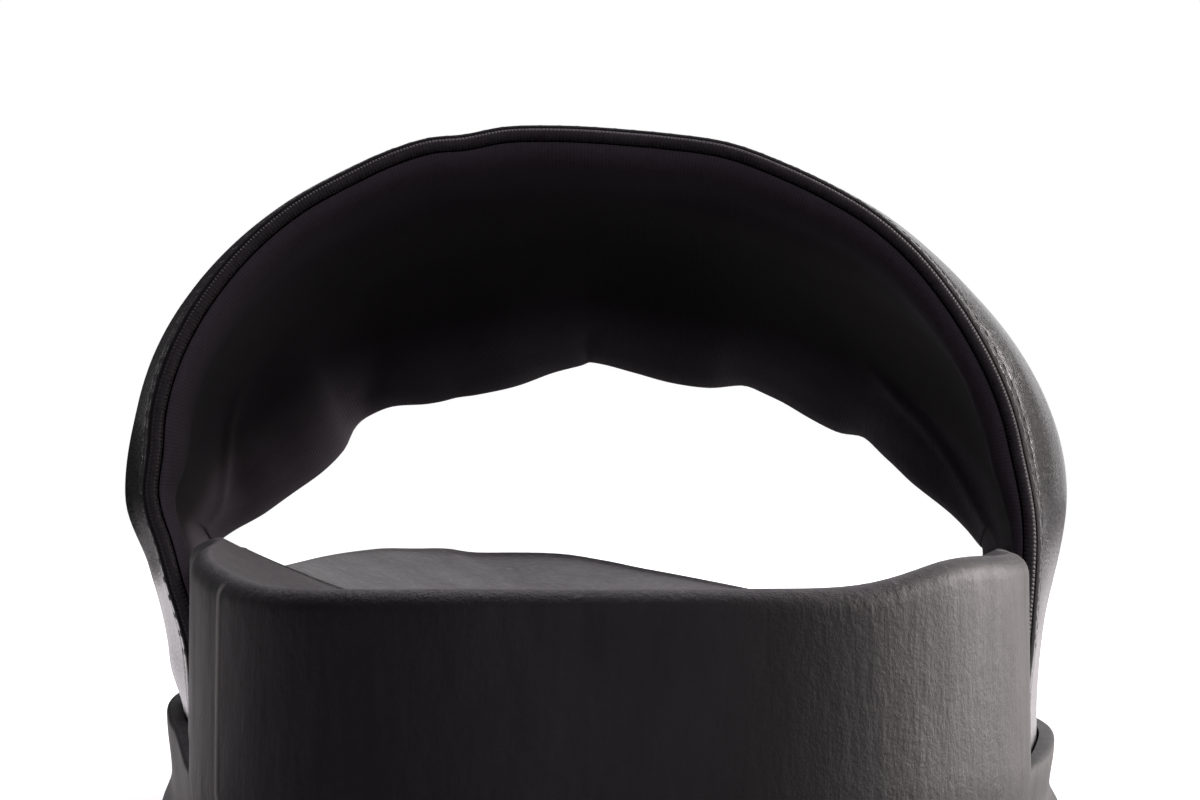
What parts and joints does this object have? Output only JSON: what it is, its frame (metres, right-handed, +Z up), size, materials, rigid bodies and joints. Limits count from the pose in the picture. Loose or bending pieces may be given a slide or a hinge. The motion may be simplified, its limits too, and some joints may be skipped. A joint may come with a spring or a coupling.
{
  "type": "slide sandal",
  "caption": "Sport slide sandal with a wide padded band over the instep and a thick contoured foam sole, open at heel and toe, right foot.",
  "frame": {"origin": "centre of the shoe's box, on the floor", "axes": "+Z up, +Y along the sole towards the toe, +X towards the outer side of a right foot"},
  "size_m": [0.1136, 0.2824, 0.0837],
  "materials": {
    "outsole_rubber": "matt black rubber with cut grooves",
    "midsole_foam": "matt black moulded foam",
    "footbed_foam": "matt black moulded foam, finely mottled on top",
    "strap_leather": "black pebbled leather with a soft sheen",
    "strap_textile": "matt black padded textile"
  },
  "bodies": {
    "root": {"outsole": "outsole_rubber", "midsole": "midsole_foam", "footbed": "footbed_foam", "strap_upper": "strap_leather", "strap_lining": "strap_textile"}
  },
  "joints": []
}
